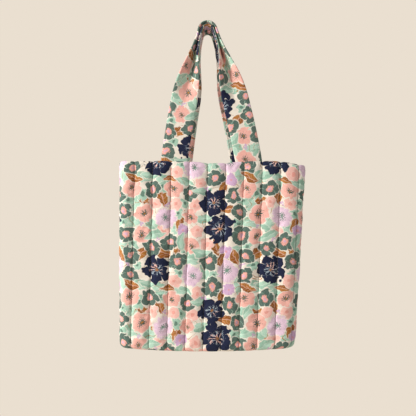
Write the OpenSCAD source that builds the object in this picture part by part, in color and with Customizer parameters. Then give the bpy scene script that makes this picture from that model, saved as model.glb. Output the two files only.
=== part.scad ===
// Quilted cotton knitting bag hanging by its two handles. Millimetres. The origin is the hang point: the axis of
// the peg, midway between the two handle crowns. +Z up, +X to the right seen from the front, +Y towards the wall.

/* [Body] */
// Width side to side at the mouth
width_top = 404; // [320:1:460]
// Width side to side at the base
width_base = 374; // [300:1:440]
// Depth front to back at the mouth
depth_top = 44; // [30:1:80]
// Depth front to back at the base
depth_base = 64; // [40:1:120]
// Corner radius of the plan section
corner = 21; // [18:0.5:21.5]
// Height of the highest point of the mouth below the hang point
rim_drop = 279; // [240:1:320]
// Height of the body from the mouth to the base at its sides
body_height = 398; // [340:1:440]
// How far the base sags at its middle
sag = 8; // [0:1:14]
// How far the mouth dips between the handles
mouth_dip = 5; // [0:0.5:8]
// How far the right mouth corner droops
corner_droop = 9; // [0:0.5:14]
// Radius where the walls turn in under the base
turn = 8; // [5:0.5:10]
// Sideways offset of the mouth from the hang point
sway_top = 10; // [-15:1:15]
// Sideways offset of the base from the hang point
sway_base = -1; // [-15:1:15]

/* [Quilting] */
// Distance between stitched quilting lines
pitch = 39.2; // [30:0.1:46]
// Offset of the quilting from the middle of the panel
quilt_shift = 10; // [-18:0.5:18]
// Height of a padded channel over its stitched lines
puff = 3; // [1:0.1:4]
// Thickness of the printed outer cloth
print_t = 0.9; // [0.6:0.1:1.2]
// Depth from a stitched line to the back of the batting
batting_back = 4.4; // [3:0.1:5]
// Thickness of the lining
lining_t = 0.8; // [0.5:0.1:1]

/* [Handles] */
// Width of a handle strap laid flat
strap_w = 58; // [45:1:65]
// Thickness of the padded strap
strap_t = 6.3; // [5:0.1:7]
// Thickness of the strap's printed cover
cover_t = 0.9; // [0.6:0.1:1.2]
// Radius of the seat over the peg
seat_r = 9; // [7:0.5:12]
// Angle of each leg from the vertical where it leaves the peg
leg_angle = 16; // [10:1:22]
// Where the left leg meets the mouth, from the hang point
left_foot = -72; // [-90:1:-60]
// Where the right leg meets the mouth, from the hang point
right_foot = 89; // [60:1:95]
// How far each leg bows outwards on its way down
leg_bow = 0.35; // [0:0.05:0.5]
// How much nearer to the middle the back handle's legs are
back_inset = 9; // [0:1:14]
// Height of the swing axis above the mouth
pivot_up = 9; // [4:1:14]
// Length of soft strap between the swing axis and the stiff part
root_up = 25; // [20:1:40]
// Height of the tab sewn inside the wall
tab_h = 45; // [30:1:60]
// Gap between touching soft layers
gap = 0.3; // [0.2:0.05:0.5]

/* [Hidden] */

$fn = 48;
back_left_foot = left_foot + back_inset;
back_right_foot = right_foot - back_inset;
d2r = 180 / PI;
rim_z = -rim_drop;
base_z = rim_z - body_height;
lining_out = batting_back + 2 * gap;
lining_in = lining_out + lining_t;
tab_out = lining_in + gap;
tab_t = 3;
facing_flat = lining_in + 2 * gap;
facing_over = tab_out + tab_t + gap;
facing_t = 0.8;
facing_h = 52;
tab_y = -depth_top / 2 + tab_out + tab_t / 2;
double_t = 2 * strap_t + gap;
mid_r = seat_r + double_t / 2;
fold_r = strap_t / 2 + gap / 2;
fold_y = -1 - strap_t / 2;
leg_top_x = mid_r * cos(leg_angle);
leg_top_z = mid_r * sin(leg_angle);
pivot_z = rim_z + pivot_up;
stiff_z = pivot_z + root_up;
leg_len = leg_top_z - rim_z;

function clamp01(v) = min(1, max(0, v));
function smooth(v) = let (c = clamp01(v)) c * c * (3 - 2 * c);
function mix(a, b, t) = a + (b - a) * t;

// Rows down the wall: each [v, psi], v from mouth to the start of the turn, psi the turn's angle.
rows = concat([for (i = [0:6]) [i / 6, 0]], [[1, 30], [1, 60], [1, 90]]);

function half_len(w, d, r) = w / 2 - r + PI * r / 2 + d / 2 - r;

// Point of the front half section at arc length s from the middle: [x, y, nx, ny].
function section(s, w, d, r) =
    let (a = w / 2 - r, q = PI * r / 2, m = abs(s), g = s < 0 ? -1 : 1)
    m <= a ? [s, -d / 2, 0, -1]
    : m <= a + q ? let (f = (m - a) / r * d2r)
        [g * (a + r * sin(f)), -d / 2 + r * (1 - cos(f)), g * sin(f), -cos(f)]
    : [g * w / 2, -d / 2 + r + m - a - q, g, 0];

function rim_shape(x) = -mouth_dip * exp(-pow((x - sway_top) / 48, 2))
    - corner_droop * smooth((x - sway_top - 120) / 80);
function base_shape(x) = -sag * (1 - pow(x / (width_base / 2), 2));

// A wall point: s scaled to the row, row [v, psi], d measured inward from the stitched surface.
function wall(t, row, d) =
    let (v = row[0], p = row[1], e = turn * (1 - cos(p)),
        w = mix(width_top, width_base, v) - 2 * e,
        dd = mix(depth_top, depth_base, v) - 2 * e,
        r = corner - e,
        c = section(t * (half_len(w, dd, r) - 0.15), w, dd, r),
        z0 = mix(rim_z + rim_shape(c[0]), base_z + turn + base_shape(c[0]), v))
    [c[0] - c[2] * d * cos(p) + mix(sway_top, sway_base, v),
     c[1] - c[3] * d * cos(p),
     z0 - turn * sin(p) + d * sin(p)];

half0 = half_len(width_top, depth_top, corner);

// Quilting columns: the stitched lines, three columns between each two, and the two side seams.
lines = [for (k = [-7:6]) let (s = quilt_shift + (k + 0.5) * pitch) if (abs(s) < half0 - 5) s];
cols_mm = concat([-half0],
    [for (k = [-28:27]) let (s = quilt_shift + (k / 4 + 0.5) * pitch) if (abs(s) < half0 - 3.4) s],
    [half0]);
cols = [for (s = cols_mm) s / half0];
plain = [for (i = [0:2]) -1 + i * 0.05, for (i = [0:9]) -0.84 + i * 1.68 / 9, for (i = [0:2]) 0.9 + i * 0.05];

function puffed(t) =
    let (s = t * half0, f = (s - quilt_shift) / pitch - 0.5, u = f - floor(f))
    puff * (1 - pow(abs(2 * u - 1), 2.2)) * smooth((half0 - abs(s)) / 12);

// A closed solid between two grids of points of the same size.
module slab(a, b) {
    m = len(a);
    n = len(a[0]);
    k = m * n;
    pts = concat([for (r = a, p = r) p], [for (r = b, p = r) p]);
    fa = [for (i = [0:m - 2], j = [0:n - 2]) each
        [[i * n + j, i * n + j + 1, (i + 1) * n + j + 1], [i * n + j, (i + 1) * n + j + 1, (i + 1) * n + j]]];
    fb = [for (f = fa) [f[2] + k, f[1] + k, f[0] + k]];
    edge = concat([for (j = [0:n - 2]) [j + 1, j]],
        [for (i = [0:m - 2]) [i * n, (i + 1) * n]],
        [for (j = [0:n - 2]) [(m - 1) * n + j, (m - 1) * n + j + 1]],
        [for (i = [0:m - 2]) [(i + 1) * n + n - 1, i * n + n - 1]]);
    fe = [for (e = edge) each [[e[0], e[1], e[1] + k], [e[0], e[1] + k, e[0] + k]]];
    polyhedron(points = pts, faces = concat(fa, fb, fe), convexity = 8);
}

module back() mirror([0, 1, 0]) children();

module panel() slab(
    [for (r = rows) [for (t = cols) wall(t, r, -puffed(t))]],
    [for (r = rows) [for (t = cols) wall(t, r, -puffed(t) + print_t)]]);

module wall_batting() slab(
    [for (r = rows) [for (t = cols) wall(t, r, -puffed(t) + print_t + gap)]],
    [for (r = rows) [for (t = cols) wall(t, r, batting_back)]]);

module wall_lining() slab(
    [for (r = rows) [for (t = plain) wall(t, r, lining_out)]],
    [for (r = rows) [for (t = plain) wall(t, r, lining_in)]]);

// Facing band inside the mouth, raised where it covers the handle tabs.
face_cols = [for (i = [0:44]) -0.97 + i * 1.94 / 44];
face_rows = [[0.003, 0], [facing_h / body_height / 2, 0], [facing_h / body_height, 0]];
function over(t, l, r) =
    let (x = t * half0)
    max(smooth((strap_w / 2 + 15 - abs(x + sway_top - l)) / 13), smooth((strap_w / 2 + 15 - abs(x + sway_top - r)) / 13));
function face_d(t, l, f) = mix(facing_flat, facing_over, over(t, l, f));
module rim_facing(l, f) slab(
    [for (r = face_rows) [for (t = face_cols) wall(t, r, face_d(t, l, f))]],
    [for (r = face_rows) [for (t = face_cols) wall(t, r, face_d(t, l, f) + facing_t)]]);

// A thin thread laid along wall points, w wide and d0..d1 from the stitched surface.
module wall_thread(pts_t, d0, d1) {
    n = len(pts_t);
    dt = 0.4 / half0;
    pts = [for (p = pts_t) each [wall(p[0] - dt, p[1], d0), wall(p[0] + dt, p[1], d0),
        wall(p[0] + dt, p[1], d1), wall(p[0] - dt, p[1], d1)]];
    rod(pts, n);
}

module rod(pts, n) polyhedron(points = pts, faces = concat(
    [for (i = [0:n - 2], j = [0:3]) let (a = i * 4 + j, b = i * 4 + (j + 1) % 4) each
        [[a, b, b + 4], [a, b + 4, a + 4]]],
    [[2, 1, 0], [3, 2, 0], [4 * n - 4, 4 * n - 3, 4 * n - 2], [4 * n - 4, 4 * n - 2, 4 * n - 1]]));

thread_rows = [for (r = rows) if (r[1] < 90) r];
module threads() for (s = lines) wall_thread([for (r = thread_rows) [s / half0, r]], -0.95, -0.25);

// Stitching along the facing's upper edge, one thread round each half of the mouth.
stitch_cols = face_cols;
module rim_stitching(l, f) {
    pts = [for (t = stitch_cols) each [for (c = [[0.022, 0.3], [0.024, 0.3], [0.024, 0.9], [0.022, 0.9]])
        wall(t, [c[0], 0], face_d(t, l, f) + facing_t + c[1])]];
    rod(pts, len(stitch_cols));
}

// Base: columns across, rows front to back inside the walls' turned-in edge.
base_w = width_base - 2 * turn - 4 * gap;
base_d = depth_base - 2 * turn - 4 * gap;
base_r = corner - turn - 2 * gap;
function base_half(x) =
    let (a = base_w / 2 - base_r, m = abs(x))
    m <= a ? base_d / 2 : base_d / 2 - base_r + sqrt(max(0, base_r * base_r - (m - a) * (m - a)));
base_cols = concat([for (f = [1, 0.97, 0.8, 0.5]) -(base_w / 2 - base_r + base_r * f)],
    [for (i = [-4:4]) i * (base_w / 2 - base_r) / 4], [for (f = [0.5, 0.8, 0.97, 1]) base_w / 2 - base_r + base_r * f]);
module base_layer(z0, z1) slab(
    [for (f = [-1, -0.5, 0, 0.5, 1]) [for (x = base_cols) [x + sway_base, -f * base_half(x), base_z + base_shape(x) + z0]]],
    [for (f = [-1, -0.5, 0, 0.5, 1]) [for (x = base_cols) [x + sway_base, -f * base_half(x), base_z + base_shape(x) + z1]]]);

// Bound seam allowances inside: one up each side seam, one round the base seam.
function around(side, q, row, d) =
    let (w = mix(width_top, width_base, row[0]), dd = mix(depth_top, depth_base, row[0]),
        l = half_len(w, dd, corner), p = wall(side * (1 - abs(q) / l), row, d))
    [p[0], q < 0 ? p[1] : -p[1], p[2]];
bind_rows = [for (i = [0:6]) [0.14 + i * 0.14, 0]];
bind_q = [-5, -2.5, 0, 2.5, 5];
bind_out = lining_in + 3 * gap;
bind_t = 1.2;
module seam_binding(side) slab(
    [for (r = bind_rows) [for (q = bind_q) around(side, q, r, side > 0 ? bind_out : bind_out + bind_t)]],
    [for (r = bind_rows) [for (q = bind_q) around(side, q, r, side > 0 ? bind_out + bind_t : bind_out)]]);

ring_t = [for (i = [0:15]) -1 + i * 2 / 16];
function ring_point(half, t, e, z) =
    let (c = section(t * half_len(base_w - 2 * e, base_d - 2 * e, max(2, base_r - e)), base_w - 2 * e,
        base_d - 2 * e, max(2, base_r - e)))
    [half * c[0] + sway_base, half * c[1], base_z + base_shape(c[0]) + z];
module base_binding() {
    z0 = lining_in + 2 * gap;
    stations = [for (h = [1, -1], t = ring_t) [h, t]];
    n = len(stations);
    pts = [for (s = stations) each [ring_point(s[0], s[1], 3, z0), ring_point(s[0], s[1], 8, z0),
        ring_point(s[0], s[1], 8, z0 + 1.2), ring_point(s[0], s[1], 3, z0 + 1.2)]];
    polyhedron(points = pts, faces = [for (i = [0:n - 1], j = [0:3])
        let (a = i * 4 + j, b = i * 4 + (j + 1) % 4, c = ((i + 1) % n) * 4 + j, d = ((i + 1) % n) * 4 + (j + 1) % 4)
        each [[a, d, b], [a, c, d]]]);
}

// A flat piece that follows the wall: sa..sb across, z0..z1 below the mouth and d0..d1 inward.
module on_wall(sa, sb, z0, z1, d0, d1) slab(
    [for (z = [z0, z1]) [for (s = [sa, sb]) wall(s / half0, [z / body_height, 0], d0)]],
    [for (z = [z0, z1]) [for (s = [sa, sb]) wall(s / half0, [z / body_height, 0], d1)]]);

// Handle tabs, flat between lining and facing, with a sewn box on each.
module tab(x) on_wall(x - sway_top - strap_w / 2 + 1, x - sway_top + strap_w / 2 - 1,
    2, tab_h, tab_out + 0.1, tab_out + tab_t - 0.1);

box_w = 23;
box_top = 15;
box_low = 39;
module tab_stitches(x) {
    s = x - sway_top;
    d = facing_over + facing_t + 0.3;
    for (e = [-box_w, box_w]) on_wall(s + e - 0.4, s + e + 0.4, box_top, box_low, d, d + 0.6);
    for (z = [box_top, box_low - 0.8]) on_wall(s - box_w + 0.8, s + box_w - 0.8, z, z + 0.8, d, d + 0.6);
}

// Strap: the section bends about its middle by angle a (0 flat, 90 folded double), opening towards the front.
function bend(u, a) =
    let (k = fold_r * a / 90 * PI / 2)
    k < 0.01 || a < 1 ? [u, 0, 0]
    : let (arc = fold_r * PI / 2, m = abs(u), g = u < 0 ? -1 : 1)
        m <= arc ? let (f = a * m / arc, rr = arc / (a / d2r)) [g * rr * sin(f), rr * (1 - cos(f)), g * f]
        : let (rr = arc / (a / d2r)) [g * (rr * sin(a) + (m - arc) * cos(a)), rr * (1 - cos(a)) + (m - arc) * sin(a), g * a];
us = [-1, -0.72, -0.44, -0.24, -0.1, 0.1, 0.24, 0.44, 0.72, 1];
// Outline of the strap section: half-width hw, half-thickness ht, bent by a.
function outline(hw, ht, a) = concat(
    [for (u = us) let (b = bend(u * (hw - ht * 0.6), a)) [b[0] + ht * sin(b[2]), b[1] - ht * cos(b[2])]],
    [let (b = bend(hw, a)) [b[0] , b[1]]],
    [for (i = [len(us) - 1:-1:0]) let (b = bend(us[i] * (hw - ht * 0.6), a)) [b[0] - ht * sin(b[2]), b[1] + ht * cos(b[2])]],
    [let (b = bend(-hw, a)) [b[0], b[1]]]);

// Leg centre line: [x, z] at u from the crown (0) to the mouth (1).
function leg_x(u, g, foot) = g * leg_top_x + (foot - g * leg_top_x) * (u + leg_bow * u * (1 - u));
function leg_z(u) = leg_top_z - u * leg_len;
function leg_dir(u, g, foot) =
    let (dx = (foot - g * leg_top_x) * (1 + leg_bow * (1 - 2 * u)))
    u < 0.001 ? g * leg_angle : atan2(dx, leg_len);
function leg_fold(u) = 90 * (1 - smooth((u - 0.04) / 0.6));
function leg_y(u) = mix(fold_y, tab_y, smooth(u * 1.25));
us_leg = [0.0005, 0.06, 0.12, 0.19, 0.26, 0.33, 0.40, 0.47, 0.54, 0.64, 0.76, (leg_top_z - stiff_z) / leg_len];

// Section points placed at u on a leg; the fold's open side faces the front.
function station(u, g, foot, o) =
    let (a = leg_dir(u, g, foot), x = leg_x(u, g, foot), z = leg_z(u), y = leg_y(u))
    [for (p = o) [x + p[0] * cos(a), y - p[1], z + p[0] * sin(a)]];

module sweep(rings) {
    m = len(rings);
    n = len(rings[0]);
    pts = [for (r = rings, p = r) p];
    polyhedron(points = pts, faces = concat(
        [for (i = [0:m - 2], j = [0:n - 1]) let (a = i * n + j, b = i * n + (j + 1) % n) each
            [[a, b + n, b], [a, a + n, b + n]]],
        [[for (j = [0:n - 1]) j]],
        [[for (j = [n - 1:-1:0]) (m - 1) * n + j]]), convexity = 10);
}

module tube(outer, inner) {
    m = len(outer);
    n = len(outer[0]);
    k = m * n;
    pts = concat([for (r = outer, p = r) p], [for (r = inner, p = r) p]);
    polyhedron(points = pts, faces = concat(
        [for (i = [0:m - 2], j = [0:n - 1]) let (a = i * n + j, b = i * n + (j + 1) % n) each
            [[a, b + n, b], [a, a + n, b + n]]],
        [for (i = [0:m - 2], j = [0:n - 1]) let (a = k + i * n + j, b = k + i * n + (j + 1) % n) each
            [[a, b, b + n], [a, b + n, a + n]]],
        [for (j = [0:n - 1]) let (b = (j + 1) % n) each [[j, b, b + k], [j, b + k, j + k]]],
        [for (j = [0:n - 1]) let (a = (m - 1) * n + j, b = (m - 1) * n + (j + 1) % n) each
            [[a, b + k, b], [a, a + k, b + k]]]), convexity = 10);
}

function rings(g, foot, hw, ht, list) = [for (u = list) station(u, g, foot, outline(hw, ht, leg_fold(u)))];

module leg_cover(g, foot) tube(rings(g, foot, strap_w / 2, strap_t / 2, us_leg),
    rings(g, foot, strap_w / 2 - cover_t, strap_t / 2 - cover_t, us_leg));
module leg_core(g, foot) sweep(rings(g, foot, strap_w / 2 - cover_t - gap, strap_t / 2 - cover_t - gap, us_leg));

// Crown: the same folded section turned over the peg.
module crown(hw, ht, fn = 96) rotate([90, 0, 0]) rotate([0, 0, leg_angle])
    rotate_extrude(angle = 180 - 2 * leg_angle, $fn = fn)
    polygon([for (p = outline(hw, ht, 90)) [mid_r + p[0], -fold_y + p[1]]]);

module handle_cover(l, f) {
    leg_cover(-1, l);
    leg_cover(1, f);
    difference() {
        crown(strap_w / 2, strap_t / 2);
        crown(strap_w / 2 - cover_t, strap_t / 2 - cover_t);
    }
}

module handle_batting(l, f) {
    leg_core(-1, l);
    leg_core(1, f);
    crown(strap_w / 2 - cover_t - gap, strap_t / 2 - cover_t - gap, 48);
}

// Topstitching along both edges of each leg, on the outer face of the strap.
function stitch_ring(u, g, foot, e) =
    let (a = leg_fold(u), b0 = bend(e - 0.35, a), b1 = bend(e + 0.35, a), h0 = strap_t / 2 + 0.8, h1 = strap_t / 2 + 1.4)
    station(u, g, foot, [
        [b0[0] + h0 * sin(b0[2]), b0[1] - h0 * cos(b0[2])], [b1[0] + h0 * sin(b1[2]), b1[1] - h0 * cos(b1[2])],
        [b1[0] + h1 * sin(b1[2]), b1[1] - h1 * cos(b1[2])], [b0[0] + h1 * sin(b0[2]), b0[1] - h1 * cos(b0[2])]]);
module handle_topstitch(l, f) for (leg = [[-1, l], [1, f]], e = [-23, 23])
    rod([for (i = [1:len(us_leg) - 1]) each stitch_ring(us_leg[i] - (i == len(us_leg) - 1 ? 0.004 : 0), leg[0], leg[1], e)],
        len(us_leg) - 1);

// The soft root: its upper end square to the leg, its lower end level just above the mouth.
root_steps = [[(leg_top_z - stiff_z + gap) / leg_len, 1], [0.94, 0.5], [1 - 2 * gap / leg_len, 0]];
module root(g, foot) sweep([for (s = root_steps)
    let (a = leg_dir(s[0], g, foot) * s[1], x = leg_x(s[0], g, foot), z = leg_z(s[0]), y = leg_y(s[0]))
    [for (p = outline(strap_w / 2, strap_t / 2, 0)) [x + p[0] * cos(a), y - p[1], z + p[0] * sin(a)]]]);

cream = [0.93, 0.89, 0.82];
cotton = [0.90, 0.86, 0.78];
sewing = [0.86, 0.80, 0.70];

module front_panel() color(cream) panel();
module back_panel() color(cream) back() panel();
module base_panel() color(cream) base_layer(-0.4, print_t - 0.4);
module front_batting() color([1, 1, 1]) wall_batting();
module back_batting() color([1, 1, 1]) back() wall_batting();
module base_batting() color([1, 1, 1]) base_layer(print_t + gap, batting_back);
module front_lining() color(cotton) wall_lining();
module back_lining() color(cotton) back() wall_lining();
module base_lining() color(cotton) base_layer(lining_out, lining_in);
module front_rim_facing() color(cotton) rim_facing(left_foot, right_foot);
module back_rim_facing() color(cotton) back() rim_facing(back_left_foot, back_right_foot);
module left_seam_binding() color(cotton) seam_binding(-1);
module right_seam_binding() color(cotton) seam_binding(1);
module base_seam_binding() color(cotton) base_binding();
module front_quilting_threads() color(sewing) threads();
module back_quilting_threads() color(sewing) back() threads();
module front_rim_stitching() color(sewing) rim_stitching(left_foot, right_foot);
module back_rim_stitching() color(sewing) back() rim_stitching(back_left_foot, back_right_foot);
module front_left_tab() color(cream) tab(left_foot);
module front_right_tab() color(cream) tab(right_foot);
module back_left_tab() color(cream) back() tab(back_left_foot);
module back_right_tab() color(cream) back() tab(back_right_foot);
module front_left_tab_stitches() color(sewing) tab_stitches(left_foot);
module front_right_tab_stitches() color(sewing) tab_stitches(right_foot);
module back_left_tab_stitches() color(sewing) back() tab_stitches(back_left_foot);
module back_right_tab_stitches() color(sewing) back() tab_stitches(back_right_foot);
module front_left_root() color(cream) root(-1, left_foot);
module front_right_root() color(cream) root(1, right_foot);
module back_left_root() color(cream) back() root(-1, back_left_foot);
module back_right_root() color(cream) back() root(1, back_right_foot);
module front_handle_cover() color(cream) handle_cover(left_foot, right_foot);
module front_handle_batting() color([1, 1, 1]) handle_batting(left_foot, right_foot);
module front_handle_topstitch() color(sewing) handle_topstitch(left_foot, right_foot);
module back_handle_cover() color(cream) back() handle_cover(back_left_foot, back_right_foot);
module back_handle_batting() color([1, 1, 1]) back() handle_batting(back_left_foot, back_right_foot);
module back_handle_topstitch() color(sewing) back() handle_topstitch(back_left_foot, back_right_foot);

front_panel();
back_panel();
base_panel();
front_batting();
back_batting();
base_batting();
front_lining();
back_lining();
base_lining();
front_rim_facing();
back_rim_facing();
left_seam_binding();
right_seam_binding();
base_seam_binding();
front_quilting_threads();
back_quilting_threads();
front_rim_stitching();
back_rim_stitching();
front_left_tab();
front_right_tab();
back_left_tab();
back_right_tab();
front_left_tab_stitches();
front_right_tab_stitches();
back_left_tab_stitches();
back_right_tab_stitches();
front_left_root();
front_right_root();
back_left_root();
back_right_root();
front_handle_cover();
front_handle_batting();
front_handle_topstitch();
back_handle_cover();
back_handle_batting();
back_handle_topstitch();
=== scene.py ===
"""Quilted cotton knitting bag: its looks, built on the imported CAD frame, in metres from the hang point."""

import math
import random

import bmesh
import bpy
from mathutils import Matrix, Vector, noise


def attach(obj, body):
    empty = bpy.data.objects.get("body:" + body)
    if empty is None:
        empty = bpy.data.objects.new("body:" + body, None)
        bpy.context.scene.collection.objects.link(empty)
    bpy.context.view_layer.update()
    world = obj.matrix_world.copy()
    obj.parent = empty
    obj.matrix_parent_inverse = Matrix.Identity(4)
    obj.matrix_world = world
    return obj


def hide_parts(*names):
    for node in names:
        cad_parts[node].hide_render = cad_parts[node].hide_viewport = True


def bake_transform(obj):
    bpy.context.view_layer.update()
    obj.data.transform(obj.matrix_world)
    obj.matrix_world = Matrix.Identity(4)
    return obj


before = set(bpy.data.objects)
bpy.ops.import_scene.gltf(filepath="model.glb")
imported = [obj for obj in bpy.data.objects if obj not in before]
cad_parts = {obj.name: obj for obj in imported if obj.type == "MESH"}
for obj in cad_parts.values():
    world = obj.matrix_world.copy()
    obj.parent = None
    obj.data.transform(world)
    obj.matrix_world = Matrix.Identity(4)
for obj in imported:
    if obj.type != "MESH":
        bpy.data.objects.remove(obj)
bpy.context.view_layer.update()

# Driving dimensions, the same as in part.scad.
WIDTH = (0.404, 0.374)  # side to side at the mouth and the base
DEPTH = (0.044, 0.064)  # front to back at the mouth and the base
CORNER = 0.021  # radius of the body's upright corners
RIM_Z = -0.279
BODY_HEIGHT = 0.398
BASE_Z = RIM_Z - BODY_HEIGHT
SAG = 0.008  # how far the base hangs below its ends
MOUTH_DIP = 0.005  # how far the mouth sinks between the handles
CORNER_DROOP = 0.009  # how far the mouth's ends droop
TURN = 0.008  # radius of the turn from wall to base
SWAY = (0.010, -0.001)  # sideways shift of the mouth and the base
PITCH = 0.0392  # between stitched lines
QUILT_SHIFT = 0.010
PUFF = 0.003  # how far the padding stands over the stitches
BATTING_BACK = 0.0044  # the wadding's inner face, below the stitched surface
LINING = (0.0050, 0.0058)  # the lining's two faces, below the stitched surface
STRAP_W = 0.058
STRAP_T = 0.0063
SEAT_R = 0.009  # radius of the peg
LEG_ANGLE = math.radians(16)
FEET = {"front": (-0.072, 0.089), "back": (-0.063, 0.080)}  # where each handle's legs meet the mouth
LEG_BOW = 0.35
TAB_H = 0.045
GAP = 0.0003

# Cloth and thread.
PRINT_T = 0.0009
LINING_T = 0.0006
FACING_T = 0.0008
FACING_H = 0.052
FACING_SPAN = 0.985  # share of the wall's width that the facing covers
OVER_TAB = 0.0036  # how far the facing stands off the lining where it covers a tab
GROOVE = 0.0012  # how far the stitches pull the print in
GROOVE_W = 0.0012
RIM_FOLD = 0.0027  # radius of the rolled edge of the mouth
EDGE_LINE = 0.86  # where a strap's edge stitches run, as a share of its half width
STITCH = 0.0026  # length of a stitch
STITCH_STEP = 0.0034
QUILT_STEP = 0.0036
THREAD_R = 0.00042
FINE_THREAD_R = 0.00026

# Worked out from those.
TAB_Y = -DEPTH[0] / 2 + LINING[1] + GAP + 0.0015
WALL_SLOPE = (DEPTH[1] - DEPTH[0]) / 2 / BODY_HEIGHT
MID_R = SEAT_R + STRAP_T + GAP / 2
FOLD_R = STRAP_T / 2 + GAP / 2
FOLD_Y = -0.001 - STRAP_T / 2
LEG_TOP = (MID_R * math.cos(LEG_ANGLE), MID_R * math.sin(LEG_ANGLE))
LEG_LEN = LEG_TOP[1] - RIM_Z


def smooth(v):
    c = min(1.0, max(0.0, v))
    return c * c * (3 - 2 * c)


def mix(a, b, t):
    return a + (b - a) * t


# ---------------- body surface


def half_len(w, d, r):
    return w / 2 - r + math.pi * r / 2 + d / 2 - r


def section(s, w, d, r):
    """A point of the front half of the plan section, at arc length s from its middle: x, y and the normal."""
    a, q, m, g = w / 2 - r, math.pi * r / 2, abs(s), -1 if s < 0 else 1
    if m <= a:
        return s, -d / 2, 0.0, -1.0
    if m <= a + q:
        f = (m - a) / r
        return g * (a + r * math.sin(f)), -d / 2 + r * (1 - math.cos(f)), g * math.sin(f), -math.cos(f)
    return g * w / 2, -d / 2 + r + m - a - q, float(g), 0.0


HALF = half_len(WIDTH[0], DEPTH[0], CORNER)
LINES = [s for s in (QUILT_SHIFT + (k + 0.5) * PITCH for k in range(-7, 7)) if abs(s) < HALF - 0.005]


def rim_shape(x):
    dip = MOUTH_DIP * math.exp(-(((x - SWAY[0]) / 0.048) ** 2))
    return -dip - CORNER_DROOP * smooth((x - SWAY[0] - 0.12) / 0.08)


def base_shape(x):
    return -SAG * (1 - (x / (WIDTH[1] / 2)) ** 2)


def wall(t, v, psi=0.0):
    """The front's stitched surface: t across from seam to seam, v down the wall, psi round the turn."""
    e = TURN * (1 - math.cos(psi))
    w = mix(WIDTH[0], WIDTH[1], v) - 2 * e
    d = mix(DEPTH[0], DEPTH[1], v) - 2 * e
    r = CORNER - e
    x, y, nx, ny = section(t * (half_len(w, d, r) - 0.00015), w, d, r)
    z = mix(RIM_Z + rim_shape(x), BASE_Z + TURN + base_shape(x), v) - TURN * math.sin(psi)
    c = math.cos(psi)
    return Vector((x + mix(SWAY[0], SWAY[1], v), y, z)), Vector((nx * c, ny * c, -math.sin(psi)))


def channel(s):
    """How far s is through its channel, 0 to 1, and the width share left near a side seam."""
    f = (s - QUILT_SHIFT) / PITCH - 0.5
    return f - math.floor(f), smooth((HALF - abs(s)) / 0.012)


def mirrored(p, side):
    return Vector((p.x, p.y if side == "front" else -p.y, p.z))


def under(side, depth, t, v, psi=0.0):
    """A point of a wall, so far below its stitched surface."""
    p, n = wall(t, v, psi)
    return mirrored(p - n * depth, side)


# ---------------- mesh helpers


def new_object(name, verts, faces, uvs=None, smooth_shade=True):
    mesh = bpy.data.meshes.new(name)
    mesh.from_pydata([tuple(v) for v in verts], [], faces)
    if uvs is not None:
        layer = mesh.uv_layers.new(name="cloth")
        for poly, quad in zip(mesh.polygons, uvs):
            for loop, uv in zip(poly.loop_indices, quad):
                layer.data[loop].uv = uv
    mesh.polygons.foreach_set("use_smooth", [smooth_shade] * len(mesh.polygons))
    mesh.update()
    obj = bpy.data.objects.new(name, mesh)
    bpy.context.scene.collection.objects.link(obj)
    return obj


def grid_faces(m, n, closed=False):
    cols = n if closed else n - 1
    return [
        (i * n + j, i * n + (j + 1) % n, (i + 1) * n + (j + 1) % n, (i + 1) * n + j)
        for i in range(m - 1)
        for j in range(cols)
    ]


def grid_uvs(uv):
    """Corner coordinates of each face of a grid. A closed grid has one more column of them than of points."""
    return [
        (row[j], row[j + 1], low[j + 1], low[j])
        for row, low in zip(uv, uv[1:])
        for j in range(len(row) - 1)
    ]


def ends(m, n):
    """The two end faces of a closed grid, and cloth coordinates for them."""
    faces = [tuple(range(n))[::-1], tuple(range((m - 1) * n, m * n))]
    return faces, [tuple((j * 0.001, 0.0) for j in range(n))] * 2


def orient(obj):
    """Turns every face of a closed mesh outwards."""
    bm = bmesh.new()
    bm.from_mesh(obj.data)
    bmesh.ops.recalc_face_normals(bm, faces=bm.faces)
    bm.to_mesh(obj.data)
    bm.free()
    return obj


def crease_columns(obj, columns, width, share):
    """Keeps columns of a grid sharp under subdivision, where stitches pull the cloth in."""
    sharp = obj.data.attributes.new("crease_edge", "FLOAT", "EDGE")
    columns = set(columns)
    for edge in obj.data.edges:
        a, b = edge.vertices
        if a % width == b % width and a % width in columns:
            sharp.data[edge.index].value = share


def sheet_object(name, rows, uv, flipped, thickness, levels=0):
    """A cloth sheet from a grid of points, thickened behind its face."""
    faces, quads = grid_faces(len(rows), len(rows[0])), grid_uvs(uv)
    if flipped:
        faces, quads = [f[::-1] for f in faces], [q[::-1] for q in quads]
    obj = new_object(name, [p for r in rows for p in r], faces, quads)
    if levels:
        sub = obj.modifiers.new("Smooth", "SUBSURF")
        sub.levels = sub.render_levels = levels
    solid = obj.modifiers.new("Cloth thickness", "SOLIDIFY")
    solid.thickness = thickness
    solid.offset = -1
    return obj


def closed_solid(name, outer, inner):
    """A closed solid between two grids of points of the same size."""
    m, n = len(outer), len(outer[0])
    k = m * n
    faces = grid_faces(m, n)
    faces += [tuple(i + k for i in f[::-1]) for f in grid_faces(m, n)]
    ring = [j for j in range(n)] + [i * n + n - 1 for i in range(1, m)]
    ring += [(m - 1) * n + j for j in range(n - 2, -1, -1)] + [i * n for i in range(m - 2, 0, -1)]
    faces += [(b, a, a + k, b + k) for a, b in zip(ring, ring[1:] + ring[:1])]
    return orient(new_object(name, [p for g in (outer, inner) for r in g for p in r], faces))


def set_material(obj, material):
    obj.data.materials.clear()
    obj.data.materials.append(material)


def dress(obj, material, slot, *nodes):
    """Finishes a piece of the bag's body: its material, and the CAD nodes that it stands for."""
    set_material(obj, MAT[material])
    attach(obj, "bag")
    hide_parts(*nodes)
    return obj


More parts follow.
